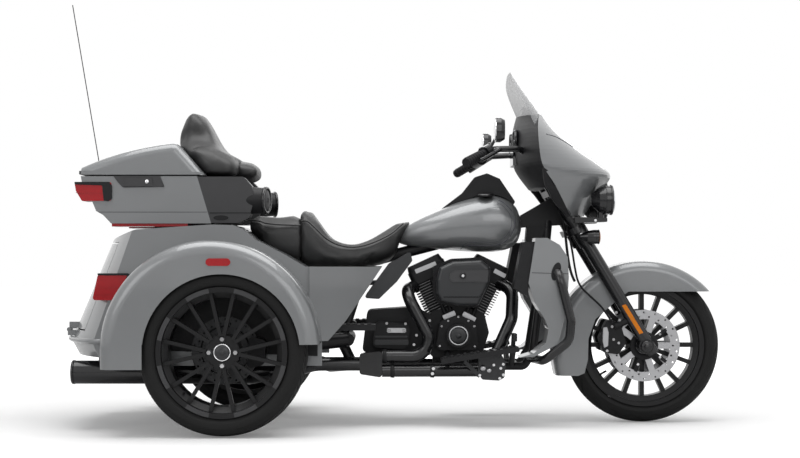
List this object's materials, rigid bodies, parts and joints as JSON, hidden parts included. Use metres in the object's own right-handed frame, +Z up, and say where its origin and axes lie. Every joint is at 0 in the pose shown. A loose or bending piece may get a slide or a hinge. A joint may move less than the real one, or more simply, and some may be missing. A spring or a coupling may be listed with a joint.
{
  "type": "motorized trike",
  "caption": "Touring trike with a fork-mounted fairing, V-twin engine, low seat, rear trunk between wide fenders and a hinged top case.",
  "frame": {"origin": "middle of the bounding box, on the ground", "axes": "+X forward, +Y to the rider's left, +Z up"},
  "size_m": [2.7139, 1.392, 1.7573],
  "materials": {
    "silver_paint": "metallic paint under clear coat",
    "black_paint": "gloss black paint",
    "satin_black": "satin black paint",
    "black_metal": "black finished alloy",
    "steel": "bare turned steel",
    "tyre": "matte black rubber",
    "rubber": "matte black rubber",
    "leather": "grained black upholstery",
    "black_plastic": "moulded black plastic",
    "red_lens": "clear red lens",
    "amber_lens": "amber lens in a black shell",
    "smoked": "smoked clear plastic"
  },
  "bodies": {
    "chassis": {"cylinders": "black_metal", "rocker_covers": "black_metal", "crankcase": "black_metal", "transmission": "black_metal", "rear_axle": "steel", "rear_calipers": "black_paint", "exhaust_pipes": "black_paint", "mufflers": "black_paint", "engine_guard": "black_paint", "cam_cover": "black_paint", "primary_cover": "black_paint", "frame": "satin_black", "swingarm": "satin_black", "shocks": "satin_black", "footboards": "satin_black", "foot_controls": "satin_black", "hinges": "satin_black", "case_rack": "satin_black", "antenna": "satin_black", "speakers": "satin_black", "fuel_tank": "silver_paint", "rear_body": "silver_paint", "case_base": "silver_paint", "lower_fairings": "silver_paint", "air_cleaner": "silver_paint", "side_covers": "silver_paint", "tank_console": "black_plastic", "speaker_pods": "black_plastic", "lower_liners": "black_plastic", "seat": "leather", "case_lamps": "red_lens", "tail_lamps": "red_lens"},
    "steering": {"fork_legs": "black_paint", "triple_clamps": "black_paint", "front_axle": "steel", "front_fender": "silver_paint", "fairing_outer": "silver_paint", "fairing_inner": "black_plastic", "windshield": "smoked", "headlamp": "black_paint", "handlebar": "black_paint", "grips": "rubber", "hand_levers": "black_paint", "mirrors": "black_paint", "passing_lamps": "black_paint", "turn_signals": "amber_lens", "brake_calipers": "black_paint"},
    "front_wheel": {"front_tyre": "tyre", "front_rim": "black_metal", "front_discs": "steel"},
    "rear_wheel_right": {"rear_tyre_right": "tyre", "rear_rim_right": "black_metal", "rear_disc_right": "steel"},
    "rear_wheel_left": {"rear_tyre_left": "tyre", "rear_rim_left": "black_metal", "rear_disc_left": "steel"},
    "topcase_lid": {"case_lid": "silver_paint", "passenger_backrest": "leather"},
    "trunk_hatch": {"trunk_door": "silver_paint"}
  },
  "joints": [
    {"name": "steer", "type": "hinge", "parent": "chassis", "child": "steering", "pos_m": [1.14, 0, 0], "axis": [-0.4384, 0, 0.8988], "range_deg": [-35, 35]},
    {"name": "front_spin", "type": "hinge", "parent": "steering", "child": "front_wheel", "pos_m": [1.04, 0, 0.317], "axis": [0, 1, 0], "continuous": true},
    {"name": "rear_spin_right", "type": "hinge", "parent": "chassis", "child": "rear_wheel_right", "pos_m": [-0.63, -0.57, 0.32], "axis": [0, 1, 0], "continuous": true},
    {"name": "rear_spin_left", "type": "hinge", "parent": "chassis", "child": "rear_wheel_left", "pos_m": [-0.63, 0.57, 0.32], "axis": [0, 1, 0], "continuous": true},
    {"name": "lid_open", "type": "hinge", "parent": "chassis", "child": "topcase_lid", "pos_m": [-0.97, 0.308, 1.001], "axis": [-1, 0, 0], "range_deg": [0, 80]},
    {"name": "trunk_open", "type": "hinge", "parent": "chassis", "child": "trunk_hatch", "pos_m": [-1.292, 0, 0.388], "axis": [0, -1, 0], "range_deg": [0, 90]}
  ]
}
